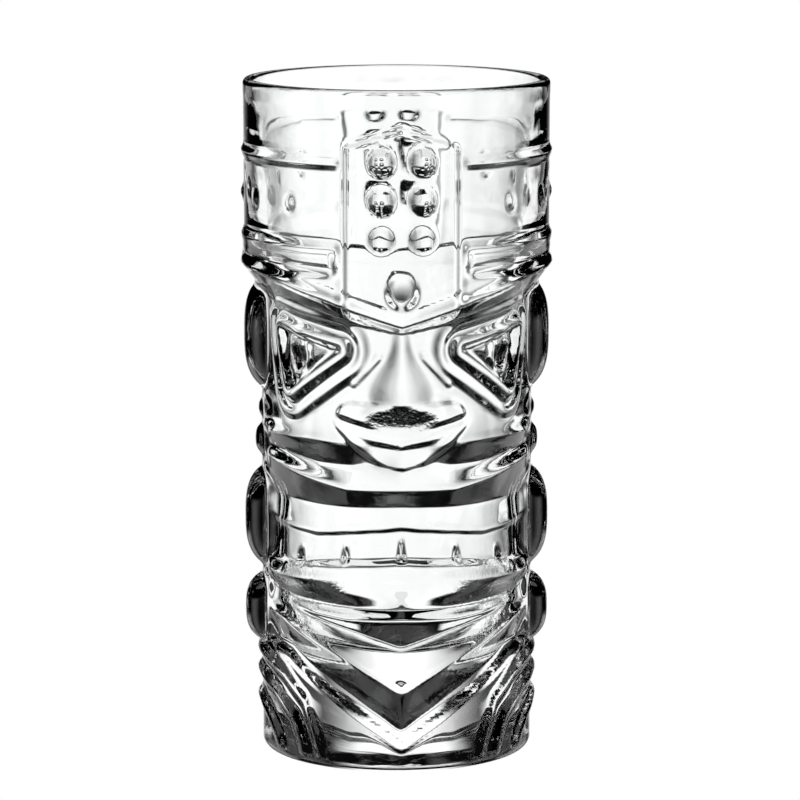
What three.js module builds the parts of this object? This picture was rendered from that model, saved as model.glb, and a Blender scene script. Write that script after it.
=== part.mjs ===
// A clear tiki highball glass, press-moulded in one piece.
//
// The tumbler is one body of glass: a thick solid base, a face with side lugs, and a wider headdress
// that ends in a rounded rim. Its outside is a turned form that carries a moulded relief; its inside
// is the plain turned form left by the plunger. Millimetres, +Z up, the face looks along -Y, and the
// origin is the middle of the foot.
import * as THREE from 'three';

// ---- driving dimensions (mm) ----
const HEIGHT = 166; // foot to rim
const HEADDRESS_RADIUS = 37.4; // wall of the headdress
const FACE_RADIUS = 33.2; // wall behind the face relief
const FOOT_RADIUS = 31.2; // flat face that the glass stands on
const FOOT_EDGE = 2.3; // rounding between foot and wall
const RIM_BEAD = 1.3; // radius of the rounded rim
const CAVITY_RIM_RADIUS = 34.8; // plunger taper inside the headdress
const CAVITY_SHOULDER_RADIUS = 31.4;
const SHOULDER_TOP = 128.2; // where the wide upper cavity ends
const CAVITY_NECK_RADIUS = 29.2; // plunger below the shoulder
const CAVITY_LOW_RADIUS = 27.4;
const CAVITY_FLOOR = 27; // thickness of the solid base
const CAVITY_CORNER = 3.8; // rounding between cavity wall and floor
const HEADDRESS_EDGE = 120.5; // lower edge of the headdress at the sides
const BROW_POINT = 109.5; // the same edge where it dips to a point above the nose
const RINGS = [148.5, 128]; // heights of the two bead rings
const RING_RISE = 0.9;
const REFERENCE_RADIUS = 36; // distances around the glass are arc lengths at this radius

// ---- mesh fineness ----
const SEGMENTS = 64;
const FRONT_CROWDING = 0.45; // draws the segments towards the face
const SOFTENING = 1.1; // every moulded edge is rounded over about this length
const WALL_SECTIONS = [ // [upper height, rows] from the foot edge to the rim
  [26, 6], [71, 16], [117, 18], [122.4, 5], [126.6, 2], [129.4, 4], [147.1, 3], [149.9, 4], [163.4, 2],
];

// ---- profile maths ----
const clamp01 = (t) => Math.min(Math.max(t, 0), 1);
const smooth = (t) => clamp01(t) ** 2 * (3 - 2 * clamp01(t));
const ramp = (x, low, high) => smooth((x - low) / (high - low));
const dome = (t) => (Math.abs(t) < 1 ? Math.sqrt(1 - t * t) : 0);
const mix = (a, b, t) => a + (b - a) * t;

// Height of a broken line at distance s from the centre line.
function lineAt(s, points) {
  let i = 1;
  while (i < points.length - 1 && s > points[i][0]) i += 1;
  const [[s0, z0], [s1, z1]] = [points[i - 1], points[i]];
  return mix(z0, z1, clamp01((s - s0) / (s1 - s0)));
}

// Distance inside a convex outline, positive within; corners run anticlockwise in (s, z).
function insideOf(s, z, corners) {
  return Math.min(...corners.map(([s0, z0], i) => {
    const [s1, z1] = corners[(i + 1) % corners.length];
    return ((s1 - s0) * (z - z0) - (z1 - z0) * (s - s0)) / Math.hypot(s1 - s0, z1 - z0);
  }));
}

// ---- headdress: its dipping lower edge, rings and gabled panel ----
const BROW_LINE = [[0, BROW_POINT], [18.5, 115.6], [43, HEADDRESS_EDGE]];
const DRAFT = { top: 127.6, slope: 0.5, length: 5.2, bottom: 120.8 }; // hollow under the lower ring
const PANEL = { half: 13.7, eave: 152.6, apex: 157.4, rise: 0.8 };

function headdress(s, z, isFront) {
  let r = HEADDRESS_RADIUS;
  const top = isFront ? lineAt(s, [[0, PANEL.apex], [PANEL.half, PANEL.eave]]) : PANEL.eave;
  const panel = ramp(PANEL.half - s, 0, 1.6) * ramp(top - z, 0, 1.4);
  for (const ring of RINGS) r += RING_RISE * dome((z - ring) / 1.4) * (1 - panel);
  const inward = DRAFT.slope * Math.min(Math.max(DRAFT.top - z, 0), DRAFT.length);
  const hollow = inward * ramp(z - DRAFT.bottom, 0, 1.6) * ramp(s, 14.3, 18) * ramp(52 - s, 0, 14);
  return r + PANEL.rise * panel - (isFront ? hollow : 0);
}

// ---- face: cheeks, mouth, chin and beard are flat planes carved between level lines ----
// Each line gives heights and wall radii at s = 0, 14, 24, 36 and 44; from one line down to the next
// the wall runs straight.
const ACROSS = [0, 14, 24, 36, 44];
const LEVELS = [
  { z: [90, 90, 88, 84, 84], r: [33.6, 33.8, 33.8, 33.4, 33.2] }, // under the eyes
  { z: [81, 81, 81.5, 81.5, 81], r: [33.8, 34.5, 34.9, 34.6, 33.8] }, // top of the cheek hollows
  { z: [76.5, 74.8, 74.8, 76.4, 77], r: [34.6, 32.2, 31.4, 32.2, 32.8] }, // bottom of the hollows
  { z: [69.8, 70.2, 72.4, 74.8, 75.6], r: [35.5, 35.5, 35.3, 34.8, 34.2] }, // edge of the upper lip
  { z: [65.6, 65.2, 65, 65.2, 65.6], r: [32.6, 32.3, 31.7, 31.4, 32] }, // gum
  { z: [53, 52.3, 51.4, 49.6, 49], r: [32.7, 32.7, 32.5, 32.2, 32.3] }, // bottom of the teeth
  { z: [51.8, 51.1, 50.2, 48.6, 48], r: [34.3, 34.3, 34, 33.4, 33] }, // lower lip
  { z: [46.4, 46.8, 46.8, 46.4, 46], r: [34.8, 34.8, 34.7, 34.2, 33.4] },
  { z: [43.8, 43.9, 44, 44.2, 44.4], r: [35, 34.1, 32.9, 32.5, 32.4] },
  { z: [40.4, 40.2, 40.4, 41, 42], r: [35.2, 32, 30.9, 30.8, 31.6] }, // chin
  { z: [38.4, 38, 38.2, 39.4, 40], r: [35.6, 34.3, 33, 31.8, 32] }, // edge under the chin
  { z: [30.3, 35, 37, 38.9, 39.4], r: [31.2, 31.7, 31.6, 31.6, 31.9] }, // upper beard band, top
  { z: [21, 28.8, 32.4, 36.2, 37.3], r: [36, 35.4, 34.6, 33.6, 33.3] }, // upper beard band, edge
  { z: [9.2, 17.2, 22.2, 27, 28.4], r: [30, 30, 30.2, 30.2, 31.2] }, // lower beard band, top
  { z: [6.6, 14.8, 19.6, 25.6, 27.3], r: [34.6, 34.2, 33.4, 32.4, 32.6] }, // lower beard band, edge
  { z: [4.6, 5, 5, 5, 5], r: [33.4, 33.1, 33.1, 33.1, 33.2] }, // plain foot
  { z: [0, 0, 0, 0, 0], r: [33.2, 33.2, 33.2, 33.2, 33.2] },
];
const EYE = [[16, 103.5], [31, 93.2], [36, 100], [34.6, 107.2]];
const LID = [[9, 105], [31.5, 87], [39.5, 86], [42, 110.5]];
const PUPIL = { s: 28.6, z: 101.2, radius: 3.2, rise: 1.4 };
const NOSE = { top: 108, tip: 92, bottom: 88.5, halfTop: 1.6, halfTip: 8.2, rise: 3.6 };
const WING = [[-8, 83.3], [0, 83.3], [6, 84], [17, 87.5], [13.4, 91.4], [-8, 91.4]];
const LIP_LOW = [[0, 74.6], [9.8, 79.5], [18, 86.5]];

function carvedRadius(s, z) {
  const at = (values) => lineAt(s, ACROSS.map((across, i) => [across, values[i]]));
  let below = LEVELS.findIndex((level) => at(level.z) <= z);
  if (below < 0) below = LEVELS.length - 1;
  if (below === 0) return at(LEVELS[0].r);
  const [upper, lower] = [LEVELS[below - 1], LEVELS[below]];
  const fall = (at(upper.z) - z) / Math.max(at(upper.z) - at(lower.z), 0.3);
  return mix(at(upper.r), at(lower.r), clamp01(fall));
}

function eye(s, z) {
  const lid = 2.4 * ramp(insideOf(s, z, LID), -1, 2.5);
  const socket = 2.4 * ramp(insideOf(s, z, EYE), -1.5, 1.5);
  const ball = PUPIL.rise * dome(Math.hypot(s - PUPIL.s, z - PUPIL.z) / PUPIL.radius);
  return lid - socket + ball;
}

function nose(s, z) {
  const down = clamp01((NOSE.top - z) / (NOSE.top - NOSE.tip));
  const half = mix(NOSE.halfTop, NOSE.halfTip, down);
  const underTip = Math.max(NOSE.tip - z, 0) / (NOSE.tip - NOSE.bottom);
  const ball = dome(Math.hypot(s / half, underTip));
  return mix(1, NOSE.rise, down) * ball * ramp(NOSE.top - z, -2, 2);
}

function face(s, z) {
  const wing = 1.9 * ramp(insideOf(s, z, WING), -0.3, 1.4);
  const lip = 1.3 * ramp(z - lineAt(s, LIP_LOW), -0.5, 1.5) * (1 - ramp(s, 14, 19)) * ramp(88 - z, 0, 4);
  const features = Math.max(eye(s, z) * ramp(s, 8, 12), nose(s, z), wing, lip);
  return mix(carvedRadius(s, z) + features, FACE_RADIUS, ramp(s, 42, 48));
}

// ---- side lugs: ears, ear drops and the two lower lobes ----
const SIDE = REFERENCE_RADIUS * Math.PI / 2;
const LUGS = [
  { low: 89.3, high: 117.5, half: 12, rise: 4.3 },
  { low: 81.8, high: 88, half: 7, rise: 0.8 },
  { low: 72.5, high: 81.6, half: 8, rise: 1.7 },
  { low: 45.2, high: 71, half: 10, rise: 4.2 },
  { low: 26, high: 43.8, half: 9, rise: 4.2 },
];
const LUG_ROOT = 3; // depth below the wall at which the lugs start

function lugs(s, z) {
  return Math.max(...LUGS.map(({ low, high, half, rise }) => {
    const across = clamp01(1 - Math.abs((s - SIDE) / half) ** 4);
    const along = clamp01(1 - Math.abs((2 * z - low - high) / (high - low)) ** 3.2);
    return (rise + LUG_ROOT) * Math.sqrt(across * along) - LUG_ROOT;
  }));
}

// Radius of the outside of the glass at an angle from the face's centre line.
function outerRadius(angle, z) {
  const isFront = Math.abs(angle) < Math.PI / 2;
  const turn = isFront ? Math.abs(angle) : Math.PI - Math.abs(angle);
  const s = turn * REFERENCE_RADIUS;
  const overhang = ramp(z - lineAt(s, BROW_LINE), -3, 0.4);
  const below = Math.max(isFront ? face(s, z) : FACE_RADIUS, FACE_RADIUS + lugs(s, z));
  return mix(below, headdress(s, z, isFront), overhang);
}

// The same radius with its edges softened, as the glass leaves the mould.
function softRadius(angle, z) {
  const aside = SOFTENING / REFERENCE_RADIUS;
  const shifts = [[0, 0], [aside, SOFTENING], [-aside, SOFTENING], [aside, -SOFTENING]];
  shifts.push([-aside, -SOFTENING]);
  const sum = shifts.reduce((total, [turn, rise]) => total + outerRadius(angle + turn, z + rise), 0);
  return sum / shifts.length;
}

// ---- the turned form ----
function arc(centreX, centreY, radius, from, to, steps) {
  return Array.from({ length: steps + 1 }, (_, i) => {
    const angle = mix(from, to, i / steps);
    return new THREE.Vector2(centreX + radius * Math.cos(angle), centreY + radius * Math.sin(angle));
  });
}

const QUARTER = Math.PI / 2;
const WALL_START = FOOT_EDGE + 0.4;
const WALL_END = WALL_SECTIONS[WALL_SECTIONS.length - 1][0];
const RIM_RADIUS = HEADDRESS_RADIUS + 0.1;

const foot = [new THREE.Vector2(0, 0), new THREE.Vector2(FOOT_RADIUS, 0)];
const footEdge = arc(FACE_RADIUS - FOOT_EDGE, FOOT_EDGE, FOOT_EDGE, -QUARTER, 0, 3).slice(1);
const wall = [new THREE.Vector2(FACE_RADIUS, WALL_START)];
for (const [upper, rows] of WALL_SECTIONS) {
  const lower = wall[wall.length - 1].y;
  for (let row = 1; row <= rows; row += 1) {
    wall.push(new THREE.Vector2(FACE_RADIUS, mix(lower, upper, row / rows)));
  }
}
const rimCentre = RIM_RADIUS - RIM_BEAD;
const rim = arc(rimCentre, HEIGHT - RIM_BEAD, RIM_BEAD, 0, Math.PI, 4);
const cavity = [
  new THREE.Vector2(CAVITY_RIM_RADIUS - 0.4, HEIGHT - 5),
  new THREE.Vector2(mix(CAVITY_SHOULDER_RADIUS, CAVITY_RIM_RADIUS, 0.5), 146),
  new THREE.Vector2(CAVITY_SHOULDER_RADIUS, SHOULDER_TOP),
  new THREE.Vector2(CAVITY_NECK_RADIUS + 0.9, SHOULDER_TOP - 2.8),
  new THREE.Vector2(CAVITY_NECK_RADIUS, SHOULDER_TOP - 5.8),
  ...arc(CAVITY_LOW_RADIUS - CAVITY_CORNER, CAVITY_FLOOR + CAVITY_CORNER, CAVITY_CORNER, 0, -QUARTER, 4),
  new THREE.Vector2(0, CAVITY_FLOOR),
];

// Every vertex of the outer wall is moved to the moulded surface. Foot, rim and cavity stay turned.
function mouldRelief(geometry) {
  const position = geometry.attributes.position;
  for (let i = 0; i < position.count; i += 1) {
    const [x, y, z] = [position.getX(i), position.getY(i), position.getZ(i)];
    const radius = Math.hypot(x, y);
    const even = Math.atan2(x, -y);
    const angle = even - FRONT_CROWDING * Math.sin(even);
    const onWall = Math.abs(radius - FACE_RADIUS) < 0.01 && z >= WALL_START - 0.01 && z <= WALL_END + 0.01;
    const moved = onWall ? softRadius(angle, z) : radius;
    position.setXY(i, moved * Math.sin(angle), -moved * Math.cos(angle));
  }
  geometry.computeVertexNormals();
  return geometry;
}

function glassTumbler() {
  const profile = [...foot, ...footEdge, ...wall, ...rim, ...cavity];
  const geometry = new THREE.LatheGeometry(profile, SEGMENTS);
  geometry.rotateX(QUARTER);
  const glass = new THREE.MeshStandardMaterial({ color: 0xf2f6f5, roughness: 0.04, metalness: 0 });
  const tumbler = new THREE.Mesh(mouldRelief(geometry), glass);
  tumbler.name = 'glass_tumbler';
  return tumbler;
}

const tikiGlass = new THREE.Group();
tikiGlass.add(glassTumbler());

export default tikiGlass;
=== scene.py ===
# A clear press-moulded glass tumbler with a tiki face, standing alone on a pale floor.
import math

import bmesh
import bpy
import numpy as np
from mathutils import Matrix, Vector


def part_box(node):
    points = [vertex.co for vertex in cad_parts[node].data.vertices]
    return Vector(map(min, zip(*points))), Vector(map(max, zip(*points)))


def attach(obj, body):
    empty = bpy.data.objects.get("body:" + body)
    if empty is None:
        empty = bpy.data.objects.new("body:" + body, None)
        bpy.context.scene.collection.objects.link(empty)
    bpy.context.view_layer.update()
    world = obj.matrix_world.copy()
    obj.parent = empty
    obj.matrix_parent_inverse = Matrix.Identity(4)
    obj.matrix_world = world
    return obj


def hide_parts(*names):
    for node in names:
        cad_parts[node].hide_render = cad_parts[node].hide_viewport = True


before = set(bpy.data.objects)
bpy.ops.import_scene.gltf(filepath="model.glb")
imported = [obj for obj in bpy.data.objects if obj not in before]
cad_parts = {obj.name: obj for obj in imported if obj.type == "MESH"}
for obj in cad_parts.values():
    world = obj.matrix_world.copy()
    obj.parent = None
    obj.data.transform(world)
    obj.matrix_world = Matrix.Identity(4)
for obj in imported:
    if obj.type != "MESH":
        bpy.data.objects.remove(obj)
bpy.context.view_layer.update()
scene = bpy.context.scene

# ---------------------------------------------------------------------------
# The glass: one piece of clear soda-lime glass, pressed in a two-part mould. A plunger leaves the
# plain round cavity, the mould leaves the relief on the outside, and the rim is fire-polished round.
# It is turned here as a stack of rings, and the outer wall is then pressed into the mould's relief.

MM = 0.001
FLOOR_Z, TOP_Z = (corner[2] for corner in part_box("glass_tumbler"))
HEIGHT = (TOP_Z - FLOOR_Z) / MM
HEADDRESS_RADIUS = 37.4
FACE_RADIUS = 33.2
FOOT_RADIUS = 33.2
FOOT_EDGE, FOOT_BEVEL = 2.2, 2.156
RIM_RADIUS = HEADDRESS_RADIUS + 0.1
RIM_EDGE = 1.3
PLAIN_RIM = 5.0            # height of the plain band under the rim
REFERENCE_RADIUS = 36.0    # distances s around the glass are arc lengths at this radius
SEGMENTS = 350
CROWDING = (0.35, 0.1)     # draws the segments towards the face

# outer wall: upper height of each zone and the number of rows in it
WALL_ZONES = ((2.2, 1), (26.0, 30), (121.5, 160), (160.0, 38), (HEIGHT, 4))
CAVITY_RIM = 34.9
# plunger, from under the rim down to the rounded floor: radius, height and rows to each ring
CAVITY = (
    (33.1, 150.0, 3), (32.4, 140.0, 3), (31.9, 133.0, 3), (31.4, 128.2, 2), (30.4, 125.6, 2),
    (29.2, 123.0, 2), (28.0, 70.0, 4), (27.5, 32.0, 4), (27.2, 29.8, 2), (26.5, 28.2, 2),
    (25.3, 27.3, 2), (23.6, 27.0, 2), (8.0, 27.0, 2),
)


def deselect():
    bpy.ops.object.select_all(action="DESELECT")


def pick_rings(mesh, wanted):
    """Selects the ring edges at the given radii and heights, in millimetres."""
    edit = bmesh.from_edit_mesh(mesh)
    ring_of = {}
    for vertex in edit.verts:
        radius, height = vertex.co.xy.length / MM, vertex.co.z / MM
        for ring, (r, z) in enumerate(wanted):
            if abs(radius - r) < 0.02 and abs(height - z) < 0.02:
                ring_of[vertex] = ring
    bpy.ops.mesh.select_all(action="DESELECT")
    for edge in edit.edges:
        first, second = (ring_of.get(vertex) for vertex in edge.verts)
        edge.select_set(first is not None and first == second)
    bmesh.update_edit_mesh(mesh)


def add_ring(radius, height):
    bpy.ops.mesh.primitive_circle_add(
        vertices=SEGMENTS, radius=radius * MM, location=(0, 0, height * MM), fill_type="NOTHING")


def join_rings(mesh, lower, upper, rows):
    pick_rings(mesh, (lower, upper))
    bpy.ops.mesh.bridge_edge_loops(number_cuts=rows - 1, interpolation="LINEAR", smoothness=0)


deselect()
add_ring(FOOT_RADIUS, 0)
glass = bpy.context.active_object
glass.name = glass.data.name = "moulded_glass"
bpy.ops.object.mode_set(mode="EDIT")
bpy.ops.mesh.select_mode(type="EDGE")
bpy.ops.mesh.edge_face_add()
below = (FOOT_RADIUS, 0.0)
for height, rows in WALL_ZONES:
    here = (FACE_RADIUS, height)
    add_ring(*here)
    join_rings(glass.data, below, here, rows)
    below = here
for radius, height, rows in ((CAVITY_RIM, HEIGHT, 1), (CAVITY_RIM, HEIGHT - 4, 1)) + CAVITY:
    here = (radius, height)
    add_ring(*here)
    join_rings(glass.data, below, here, rows)
    below = here
pick_rings(glass.data, (below,))
bpy.ops.mesh.edge_face_add()
bpy.ops.object.mode_set(mode="OBJECT")


# --- measures on the unrolled wall: s runs round the glass from the middle of the face, z is height ---
def ramp(x, low, high):
    t = np.clip((x - low) / (high - low), 0, 1)
    return t * t * (3 - 2 * t)


def dome(t):
    return np.sqrt(np.clip(1 - t * t, 0, 1))


def bead(t):
    """A soft-edged round ridge of unit height and unit half-width."""
    return np.clip(1 - t * t, 0, 1) ** 1.5


def line_at(s, points):
    return np.interp(s, [p[0] for p in points], [p[1] for p in points])


def distance_to(s, z, points):
    """Distance to an open broken line."""
    nearest = np.full_like(s, 1e3)
    for (s0, z0), (s1, z1) in zip(points[:-1], points[1:]):
        length = math.hypot(s1 - s0, z1 - z0)
        along = np.clip(((s - s0) * (s1 - s0) + (z - z0) * (z1 - z0)) / length ** 2, 0, 1)
        nearest = np.minimum(nearest, np.hypot(s - s0 - along * (s1 - s0), z - z0 - along * (z1 - z0)))
    return nearest


def outside_of(s, z, corners):
    """Distance to a closed outline, negative inside it."""
    inside = np.zeros(s.shape, dtype=bool)
    for (s0, z0), (s1, z1) in zip(corners, corners[1:] + corners[:1]):
        crosses = (z0 > z) != (z1 > z)
        if z0 != z1:
            inside ^= crosses & (s < s0 + (z - z0) * (s1 - s0) / (z1 - z0))
    away = distance_to(s, z, corners + corners[:1])
    return np.where(inside, -away, away)


# --- headdress: a wide drum with two ring beads, a panel and small bosses, dipping to a point ---
BROW_LINE = [(0, 109.0), (9, 112.2), (18.5, 115.4), (30, 118.3), (43, 120.5), (60, 120.5)]
RINGS = (148.5, 128.2)
PANEL_HALF = 13.7
PANEL_EAVE = 152.6
PANEL_APEX = 157.4
PANEL_RISE = 1.0
BOSS_ROWS = (149.1, 139.9, 130.6)
BOSS_S = 4.6
BOSS_RADIUS = 2.9
DOTS = (28.3, 42.4, 56.5)
DOT_Z = 138.2
DRAFT_TOP, DRAFT_LENGTH, DRAFT_BOTTOM = 127.6, 5.2, 120.8   # hollow between lower ring and brow
JEWEL_Z, JEWEL_HALF = 118.2, (3.9, 4.9)
JEWEL_SLOPE = 0.42


def headdress(s, z, front):
    roof = np.where(front, line_at(s, [(0, PANEL_APEX), (PANEL_HALF, PANEL_EAVE)]), PANEL_EAVE)
    panel = ramp(PANEL_HALF - s, 0, 1.3) * ramp(roof - z, 0, 1.0)
    relief = PANEL_RISE * panel
    clear = ramp(s - PANEL_HALF, 0.6, 1.6)
    for ring in RINGS:
        relief += 0.8 * bead((z - ring) / 1.3) * clear
    relief += 0.3 * ramp(RINGS[1] - z, 0, 1.5) * clear
    draft = 0.5 * np.clip(DRAFT_TOP - z, 0, DRAFT_LENGTH) * ramp(z - DRAFT_BOTTOM, 0, 1.6)
    draft *= ramp(s, 14.3, 18) * ramp(52 - s, 0, 14)
    relief -= np.where(front, draft, 0)
    brow = z - line_at(s, BROW_LINE)
    edge = 0.7 * bead((brow - 1.1) / 1.1) - 0.5 * bead((brow - 3.2) / 0.7) * ramp(s, 1, 4)
    relief += np.where(front, edge, 0)
    for row in BOSS_ROWS:
        boss = 1.5 * dome(np.hypot(s - BOSS_S, z - row) / BOSS_RADIUS)
        u_mark = [(1.9, row + 2.8), (1.9, row - 1), (3.2, row - 3.1), (5.6, row - 3.1), (6.9, row - 1),
                  (6.9, row + 2.8)]
        mark = 1.8 * ramp(-outside_of(s, z, u_mark), 0, 0.9)
        relief += np.where(front, boss, -mark)
    for dot in DOTS:
        relief += 0.7 * dome(np.hypot((s - dot) / 1.3, (z - DOT_Z) / 1.9))
    oval = ramp(1 - np.hypot(s / JEWEL_HALF[0], (z - JEWEL_Z) / JEWEL_HALF[1]), 0, 0.3)
    jewel = JEWEL_SLOPE * (JEWEL_Z + 4.2 - z) * oval
    relief -= np.where(front, jewel, 0)
    return HEADDRESS_RADIUS + relief


# --- face: eyes with round lids, broad nose, layered lip, teeth, chin and two beard bands ---
EYE = [(16.0, 103.5), (31.0, 93.2), (34.6, 107.2)]
PUPIL = (28.6, 101.2)
WRINKLE = [(5.6, 102.2), (12.4, 95.4)]
NOSE_TOP, NOSE_TIP, NOSE_BOTTOM = 109.0, 93.0, 88.8
NOSE_HALF = [(92.5, 7.4), (95, 7.0), (98, 5.4), (101, 3.6), (104, 2.4), (109, 1.8)]
WING = [(-6, 83.2), (0, 83.2), (5.8, 84.0), (12, 85.8), (16.6, 87.2), (17.0, 88.6), (15.6, 90.4),
        (13.2, 91.4), (10, 91.2), (-6, 91.2)]
LIP_UPPER = [(0, 79.7), (8, 81.6), (13, 83.6), (18.0, 86.6)]
LIP_LOWER = [(0, 74.6), (6, 75.6), (10.5, 78.6), (18.4, 86.0)]
# level lines across the face from the cheeks down: heights at s = 0, 14, 24, 36 and 44, and the
# radius of the wall on each; between two lines the wall runs straight, so each is a carved plane
ACROSS = (0, 14, 24, 36, 44)
LEVELS = (
    ((90, 90, 88, 84, 84), (33.6, 33.8, 33.8, 33.4, 33.2)),          # under the eyes
    ((81, 81, 81.5, 81.5, 81), (33.8, 34.5, 34.9, 34.6, 33.8)),        # top of the cheek hollows
    ((76.5, 74.8, 74.8, 76.4, 77.0), (34.6, 32.2, 31.4, 32.2, 32.8)),  # bottom of the hollows
    ((69.8, 70.2, 72.4, 74.8, 75.6), (35.5, 35.5, 35.3, 34.8, 34.2)),  # edge of the upper lip
    ((65.6, 65.2, 65.0, 65.2, 65.6), (32.6, 32.3, 31.7, 31.4, 32.0)),  # gum under the lip
    ((60.3, 59.2, 58.2, 59.0, 60.0), (32.8, 32.8, 32.7, 32.4, 32.4)),
    ((59.6, 58.5, 57.5, 58.3, 59.3), (32.2, 32.2, 32.1, 32.0, 32.2)),  # top of the teeth
    ((53.0, 52.3, 51.4, 49.6, 49.0), (32.7, 32.7, 32.5, 32.2, 32.3)),
    ((52.0, 51.3, 50.4, 48.8, 48.2), (34.2, 34.2, 33.9, 33.2, 32.9)),  # lower lip
    ((48.6, 48.2, 47.6, 46.8, 46.4), (34.9, 34.9, 34.7, 34.2, 33.4)),
    ((46.4, 46.8, 46.8, 46.4, 46.0), (34.6, 34.6, 34.6, 34.2, 33.4)),
    ((43.8, 43.9, 44.0, 44.2, 44.4), (35.0, 34.1, 32.9, 32.5, 32.4)),
    ((40.4, 40.2, 40.4, 41.0, 42.0), (35.2, 32.0, 30.9, 30.8, 31.6)),  # chin
    ((38.4, 38.0, 38.2, 39.4, 40.0), (36.0, 34.8, 33.2, 31.8, 32.0)),  # edge under the chin
    ((30.3, 34.6, 36.8, 38.9, 39.4), (31.0, 31.3, 31.4, 31.6, 31.9)),  # top of the first band
    ((21.4, 29.2, 32.8, 36.6, 37.6), (36.0, 35.4, 34.6, 33.6, 33.3)),
    ((20.6, 28.4, 32.0, 35.9, 37.0), (36.1, 35.6, 34.9, 33.8, 33.2)),  # lower edge of it
    ((9.2, 17.2, 22.6, 28.0, 29.0), (30.0, 29.8, 30.2, 30.2, 31.2)),   # top of the second band
    ((6.9, 15.2, 20.0, 26.0, 27.6), (34.6, 34.2, 33.4, 32.4, 32.6)),
    ((6.2, 14.4, 19.2, 25.2, 27.0), (34.3, 34.0, 33.2, 32.4, 32.8)),   # lower edge of it
    ((5.4, 13.0, 17.0, 22.0, 24.0), (33.6, 33.8, 32.8, 32.4, 32.8)),
    ((4.6, 5.0, 5.0, 5.0, 5.0), (33.4, 33.1, 33.1, 33.1, 33.2)),       # plain foot
    ((0, 0, 0, 0, 0), (33.3, 33.3, 33.3, 33.3, 33.3)),
)
TEETH_BOTTOM, BAND_EDGE, BAND_TOP = LEVELS[7][0], LEVELS[-7][0], LEVELS[-6][0]
TOOTH_GAPS = ((0, 5.8, 1.2), (15.1, 4.8, 1.0), (29.7, 4.6, 1.0))   # place, height, half-width
LEAVES = ([(20.6, 0), (22.9, 6.7), (27.3, 15.9), (35.8, 21.2), (46, 24.5), (56.6, 25.4)],
          [(26.6, 0), (28.2, 5.2), (31.6, 11.5), (40.0, 16.6), (49, 19.4), (56.6, 20.2)],
          [(35.5, 0), (38.0, 5.0), (43.3, 9.6), (50, 12.6), (56.6, 13.6)])


def carved_planes(s, z):
    """Radius of the wall from the level lines."""
    s = np.hypot(s, 0.8) - 0.8 * ramp(6 - s, 0, 6)
    heights = [line_at(s, list(zip(ACROSS, levels))) for levels, _ in LEVELS]
    radii = [line_at(s, list(zip(ACROSS, radius))) for _, radius in LEVELS]
    wall = radii[0].copy()
    for k in range(len(LEVELS) - 1):
        t = np.clip((heights[k] - z) / np.maximum(heights[k] - heights[k + 1], 0.3), 0, 1)
        wall += t * (radii[k + 1] - radii[k])
    return wall


def eye(s, z):
    away = outside_of(s, z, EYE)
    lid = 1.8 * bead((away - 1.8) / 2.1) ** 0.7
    fold = 1.0 * bead((away - 6.2) / 2.0)
    ball = (1.0 + 0.05 * (s - 24)) * ramp(-away, 1.0, 2.2)
    socket = ball - 1.0 * ramp(-away, -0.3, 0.4)
    pupil = np.hypot(s - PUPIL[0], (z - PUPIL[1]) / 1.5)
    ring = 0.7 * bead((pupil - 3.2) / 1.1)
    hole = (0.9 + 0.5 * (PUPIL[1] + 1.5 - z)) * ramp(2.4 - pupil, 0, 0.5)
    return lid + fold + socket + ring - hole


def nose(s, z):
    down = np.clip((NOSE_TOP - z) / (NOSE_TOP - NOSE_TIP), 0, 1)
    half = line_at(z, NOSE_HALF)
    body = (1 - np.clip(s / (1.25 * half), 0, 1) ** 2) ** 1.8
    tip = ramp(z - NOSE_BOTTOM - 2.2 * (s / 8.3) ** 2, -0.4, 1.6)
    return (0.6 + 3.0 * down ** 1.1) * body * tip * ramp(NOSE_TOP + 1 - z, 0, 3)


def nose_and_lip(s, z):
    wing = 1.7 * ramp(-outside_of(s, z, WING), -0.2, 1.0)
    under = ramp(1 - np.hypot(s / 11.5, (z - 88.0) / 4.6), 0, 0.4)
    wing = wing * (1 - under) + (0.3 + 0.42 * (z - 83.5)) * under
    lip = 0.8 * ramp(z - line_at(s, LIP_UPPER), -0.2, 0.8) * ramp(18.6 - s, 0, 3) * ramp(86 - z, 0, 5)
    low = 0.8 * ramp(z - line_at(s, LIP_LOWER), -0.2, 0.8) * ramp(19.4 - s, 0, 3) * ramp(90 - z, 0, 6)
    wrinkle = 0.5 * bead(distance_to(s, z, WRINKLE) / 1.3)
    return np.maximum.reduce([nose(s, z), wing, lip + low, low, wrinkle])


def teeth(s, z):
    """Notches between the teeth, cut up from the lower lip."""
    bottom = line_at(s, list(zip(ACROSS, TEETH_BOTTOM)))
    cut = np.zeros_like(s)
    for at, tall, wide in TOOTH_GAPS:
        up = np.clip((z - bottom + 0.6) / tall, 0, 1)
        width = wide * np.maximum(1 - up, 0.05)
        cut += 2.4 * np.clip(1 - np.abs(s - at) / width, 0, 1) * (z > bottom - 0.6) * (up < 1)
    return -cut


def leaves(s, z):
    """Nested pointed arches under each side lug."""
    relief = np.zeros_like(s)
    for line in LEAVES:
        away = distance_to(s, z, line)
        relief = np.maximum(relief, 1.3 * bead(away / 2.2))
    return relief


# --- side lugs: a big ear, two small drops and two lobes ---
SIDE = REFERENCE_RADIUS * math.pi / 2
# lower and upper end, half-width along the wall, rise
LUGS = ((89.3, 117.8, 12.5, 4.3), (82.0, 87.8, 7, 0.8), (72.6, 81.6, 8, 1.6),
        (45.2, 70.8, 10, 4.2), (26.0, 43.8, 9.5, 4.2))
LUG_ROOT = 3.0


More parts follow.
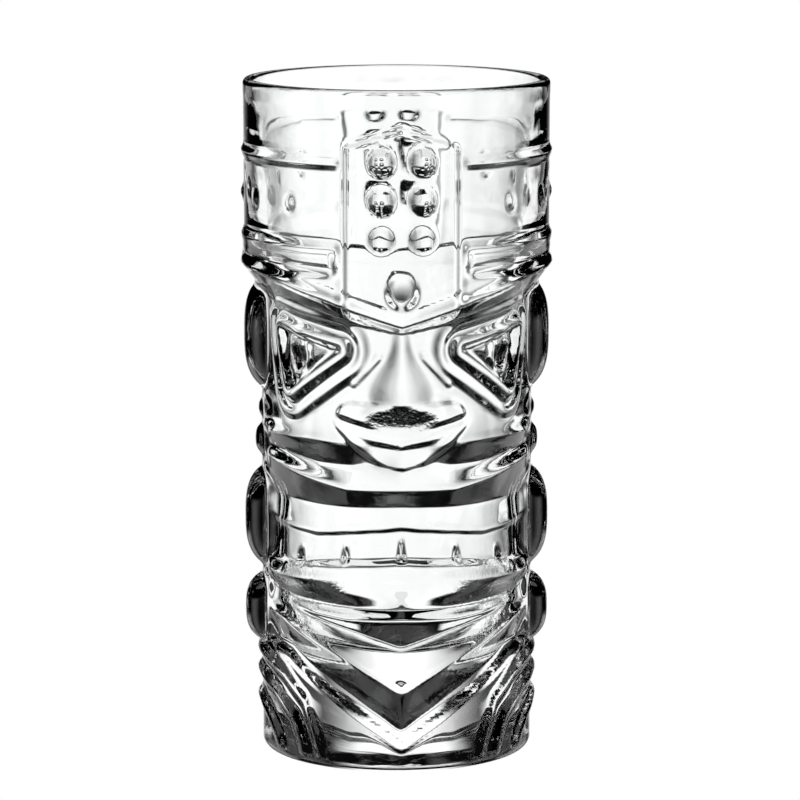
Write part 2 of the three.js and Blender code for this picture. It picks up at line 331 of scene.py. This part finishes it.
def lugs(s, z):
    relief = np.full_like(s, -LUG_ROOT)
    for low, high, half, rise in LUGS:
        across = np.clip(1 - np.abs((s - SIDE) / half) ** 2.2, 0, 1)
        along = np.clip(1 - np.abs((2 * z - low - high) / (high - low)) ** 3, 0, 1)
        relief = np.maximum(relief, (rise + LUG_ROOT) * np.sqrt(across * along) - LUG_ROOT)
    return relief


# --- the mould: headdress above the brow, face relief and lugs below it, a plain wall behind ---
SOFTENING = 0.45           # how far an edge is rounded over


def mould_radius(angle, z):
    front = np.abs(angle) < math.pi / 2
    s = REFERENCE_RADIUS * np.where(front, np.abs(angle), math.pi - np.abs(angle))
    under_brow = line_at(s, [(0, 1.0), (8, 2.4), (18, 6.0), (30, 8.0), (60, 5.0)])
    under_brow = np.where(front, under_brow, 1.4)
    overhang = np.clip(1 + (z - line_at(s, BROW_LINE)) / under_brow, 0, 1)
    carved = carved_planes(s, z) - FACE_RADIUS + teeth(s, z)
    features, middle = eye(s, z) * ramp(s, 6, 10), nose_and_lip(s, z)
    features = np.where(middle > 0, np.maximum(features, middle), features)
    features = carved * ramp(47 - s, 0, 5) + features * ramp(48 - s, 0, 4)
    features += leaves(s, z) * ramp(line_at(s, LEAVES[0]) + 2.2 - z, 0, 1) * ramp(s, 17, 19)
    features = np.where(front, features, 0)
    below = FACE_RADIUS + np.maximum(features, lugs(s, z))
    return below * (1 - overhang) + headdress(s, z, front) * overhang


def outer_radius(angle, z):
    """The mould's relief with every edge softened, as the glass leaves it."""
    around = SOFTENING / REFERENCE_RADIUS
    steps = [(0, 0)] + [(a * around, b * SOFTENING) for a in (-1, 1) for b in (-1, 1)]
    return sum(mould_radius(angle + a, z + b) for a, b in steps) / len(steps)


def stippled(s, z):
    """Where the mould was left with a sandy texture: under the nose, on the chin, in the hollows."""
    under_nose = ramp(1 - np.hypot(s / 10.5, (z - 86.6) / 4.0), 0, 0.3)
    chin = ramp(s, 12, 17) * ramp(44 - s, 0, 4) * ramp(z, 39, 40.5) * ramp(47 - z, 0, 1.5)
    hollow = ramp(s, 10, 14) * ramp(34 - s, 0, 4) * ramp(z, 75, 76.5) * ramp(81.5 - z, 0, 1.5)
    under_band = ramp(z - line_at(s, list(zip(ACROSS, BAND_TOP))), 0, 1.5)
    under_band *= ramp(line_at(s, list(zip(ACROSS, BAND_EDGE))) - z, 0, 1.5) * ramp(40 - s, 0, 4)
    return np.maximum.reduce([under_nose, 0.5 * chin, 0.3 * hollow, 0.2 * under_band])


points = np.empty(len(glass.data.vertices) * 3)
glass.data.vertices.foreach_get("co", points)
points = points.reshape(-1, 3)
radius = np.hypot(points[:, 0], points[:, 1])
turn = np.arctan2(points[:, 0], -points[:, 1])
turn = turn - CROWDING[0] * np.sin(turn) - CROWDING[1] * np.sin(2 * turn)
height = points[:, 2] / MM
on_wall = (np.abs(radius - FACE_RADIUS * MM) < 1e-5) & (height > FOOT_EDGE)
pressed = outer_radius(turn, height) * MM
fade = np.clip((height - HEIGHT + PLAIN_RIM) / 2, 0, 1)
pressed = pressed * (1 - fade) + RIM_RADIUS * MM * fade
radius = np.where(on_wall, pressed, radius)
points = np.column_stack((radius * np.sin(turn), -radius * np.cos(turn), points[:, 2]))
rough = glass.data.attributes.new("stipple", "FLOAT", "POINT")
rough.data.foreach_set("value", stippled(np.abs(turn) * REFERENCE_RADIUS, height).astype(np.float32))
glass.data.vertices.foreach_set("co", points.ravel())
glass.data.update()

# rounded foot and fire-polished rim
bpy.ops.object.mode_set(mode="EDIT")
pick_rings(glass.data, ((FOOT_RADIUS, 0.0),))
bpy.ops.mesh.bevel(offset=FOOT_BEVEL * MM, segments=5, affect="EDGES")
pick_rings(glass.data, ((RIM_RADIUS, HEIGHT), (CAVITY_RIM, HEIGHT)))
bpy.ops.mesh.bevel(offset=RIM_EDGE * MM, segments=5, affect="EDGES")
bpy.ops.mesh.select_all(action="SELECT")
bpy.ops.mesh.normals_make_consistent(inside=False)
bpy.ops.object.mode_set(mode="OBJECT")
bpy.ops.object.shade_smooth()

clear_glass = bpy.data.materials.new("clear_glass")
clear_glass.use_nodes = True
nodes, links = clear_glass.node_tree.nodes, clear_glass.node_tree.links
shader = nodes["Principled BSDF"]
shader.inputs["Base Color"].default_value = (0.985, 0.995, 0.99, 1)
shader.inputs["IOR"].default_value = 1.51
shader.inputs["Transmission Weight"].default_value = 1.0
place = nodes.new("ShaderNodeTexCoord")
# slow waves left by the cold mould, and a sand-like grain where the mould is stippled
waves = nodes.new("ShaderNodeTexNoise")
waves.inputs["Scale"].default_value = 110
waves.inputs["Detail"].default_value = 1.5
links.new(place.outputs["Object"], waves.inputs["Vector"])
grain = nodes.new("ShaderNodeTexNoise")
grain.inputs["Scale"].default_value = 1300
grain.inputs["Detail"].default_value = 2.0
links.new(place.outputs["Object"], grain.inputs["Vector"])
sandy = nodes.new("ShaderNodeAttribute")
sandy.attribute_name = "stipple"
grain_height = nodes.new("ShaderNodeMath")
grain_height.operation = "MULTIPLY"
links.new(grain.outputs["Fac"], grain_height.inputs[0])
links.new(sandy.outputs["Fac"], grain_height.inputs[1])
wavy_normal = nodes.new("ShaderNodeBump")
wavy_normal.inputs["Strength"].default_value = 1.0
wavy_normal.inputs["Distance"].default_value = 0.00013
links.new(waves.outputs["Fac"], wavy_normal.inputs["Height"])
grain_normal = nodes.new("ShaderNodeBump")
grain_normal.inputs["Strength"].default_value = 1.0
grain_normal.inputs["Distance"].default_value = 0.00018
links.new(grain_height.outputs[0], grain_normal.inputs["Height"])
links.new(wavy_normal.outputs[0], grain_normal.inputs["Normal"])
links.new(grain_normal.outputs[0], shader.inputs["Normal"])
polish = nodes.new("ShaderNodeMapRange")
polish.inputs["To Min"].default_value = 0.0
polish.inputs["To Max"].default_value = 0.03
links.new(sandy.outputs["Fac"], polish.inputs["Value"])
links.new(polish.outputs[0], shader.inputs["Roughness"])
glass.data.materials.clear()
glass.data.materials.append(clear_glass)
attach(glass, "root")
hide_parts("glass_tumbler")

# ---------------------------------------------------------------------------
# The camera: a long lens a metre away, a little above the rim, looking slightly down.

CAMERA_REACH = 1.05
CAMERA_HEIGHT = 0.257
CAMERA_TURN = math.radians(-2.0)
CAMERA_DIP = 0.1612
LENS, SENSOR_WIDTH = 194.2, 36
SIDEWAYS_SHIFT = 0.0044
bpy.ops.object.camera_add(
    location=(CAMERA_REACH * math.sin(CAMERA_TURN), -CAMERA_REACH * math.cos(CAMERA_TURN), CAMERA_HEIGHT),
    rotation=(math.pi / 2 - CAMERA_DIP, 0, CAMERA_TURN))
camera = bpy.context.active_object
camera.data.lens = LENS
camera.data.sensor_width = SENSOR_WIDTH
camera.data.shift_x = SIDEWAYS_SHIFT
camera.data.clip_end = 100
scene.camera = camera

# ---------------------------------------------------------------------------
# The floor and the light: a plain white floor under a bright-field light. Glass is drawn by what it
# bends into view, so bright paper stands only behind it, in each direction that it is looked at from,
# and the studio between and above stays dark, apart from soft boxes.

FLOOR_RADIUS, FLOOR_GAP = 12, 0.0002
bpy.ops.mesh.primitive_circle_add(
    vertices=96, radius=FLOOR_RADIUS, location=(0, 0, FLOOR_Z - FLOOR_GAP), fill_type="NGON")
floor = bpy.context.active_object
floor.name = "studio_floor"
paper = bpy.data.materials.new("studio_paper")
paper.use_nodes = True
nodes, links = paper.node_tree.nodes, paper.node_tree.links
nodes.clear()
rays = nodes.new("ShaderNodeLightPath")
white = nodes.new("ShaderNodeEmission")
clear = nodes.new("ShaderNodeBsdfTransparent")
either = nodes.new("ShaderNodeMixShader")
out = nodes.new("ShaderNodeOutputMaterial")
links.new(rays.outputs["Is Camera Ray"], either.inputs[0])
links.new(clear.outputs[0], either.inputs[1])
links.new(white.outputs[0], either.inputs[2])
links.new(either.outputs[0], out.inputs["Surface"])
floor.data.materials.append(paper)

world = bpy.data.worlds.new("studio")
scene.world = world
world.use_nodes = True
nodes, links = world.node_tree.nodes, world.node_tree.links
nodes.clear()


def maths(operation, *values):
    node = nodes.new("ShaderNodeMath")
    node.operation = operation
    for socket, value in zip(node.inputs, values):
        if isinstance(value, (int, float)):
            socket.default_value = value
        else:
            links.new(value, socket)
    return node.outputs[0]


def soft_step(value, start, end):
    """0 before start and 1 after end, in degrees."""
    node = nodes.new("ShaderNodeMapRange")
    node.interpolation_type = "SMOOTHSTEP"
    node.inputs["From Min"].default_value = start
    node.inputs["From Max"].default_value = end
    links.new(value, node.inputs["Value"])
    return node.outputs[0]


def lanes(first, half, soft):
    """Upright bright lanes at every quarter turn round the glass, from the first bearing."""
    away = maths("PINGPONG", maths("SUBTRACT", around, first), 45)
    return soft_step(away, half + soft / 2, half - soft / 2)


def between(low, high, soft):
    return maths("MULTIPLY", soft_step(rise, low - soft, low), soft_step(rise, high + soft, high))


direction = nodes.new("ShaderNodeTexCoord")
split = nodes.new("ShaderNodeSeparateXYZ")
links.new(direction.outputs["Generated"], split.inputs[0])
to_degrees = 180 / math.pi
around = maths("MULTIPLY", maths("ARCTAN2", split.outputs[0], split.outputs[1]), to_degrees)
rise = maths("MULTIPLY", maths("ARCSINE", split.outputs[2]), to_degrees)

# paper behind the glass and below it, strips between the lanes, soft boxes above and a top light
ahead = soft_step(maths("ABSOLUTE", around), 140, 120)
light = maths("MULTIPLY", lanes(0, 16, 30), between(-30, -7, 4))
below = maths("MULTIPLY", lanes(0, 14, 14), between(-60, -26, 4))
light = maths("MAXIMUM", light, maths("MULTIPLY", below, 0.8))
light = maths("MULTIPLY", light, ahead)
light = maths("MAXIMUM", light, maths("MULTIPLY", lanes(45, 16, 10), between(-40, -16, 4)))
light = maths("MAXIMUM", light, maths("MULTIPLY", lanes(0, 18, 14), between(15, 40, 3)))
light = maths("MAXIMUM", light, soft_step(rise, 62, 72))
LIGHT_STRENGTH, STRAY_LIGHT = 1.16, 0.003
light = maths("ADD", maths("MULTIPLY", light, LIGHT_STRENGTH), STRAY_LIGHT)
rays = nodes.new("ShaderNodeLightPath")
light = maths("MULTIPLY", light, maths("SUBTRACT", 1.0, rays.outputs["Is Camera Ray"]))
seen = maths("ADD", light, rays.outputs["Is Camera Ray"])
glow = nodes.new("ShaderNodeBackground")
glow.inputs["Color"].default_value = (1, 1, 1, 1)
out = nodes.new("ShaderNodeOutputWorld")
links.new(seen, glow.inputs["Strength"])
links.new(glow.outputs[0], out.inputs["Surface"])

BOUNCES = 24
scene.view_settings.view_transform = "Standard"
scene.cycles.max_bounces = BOUNCES
scene.cycles.transmission_bounces = BOUNCES
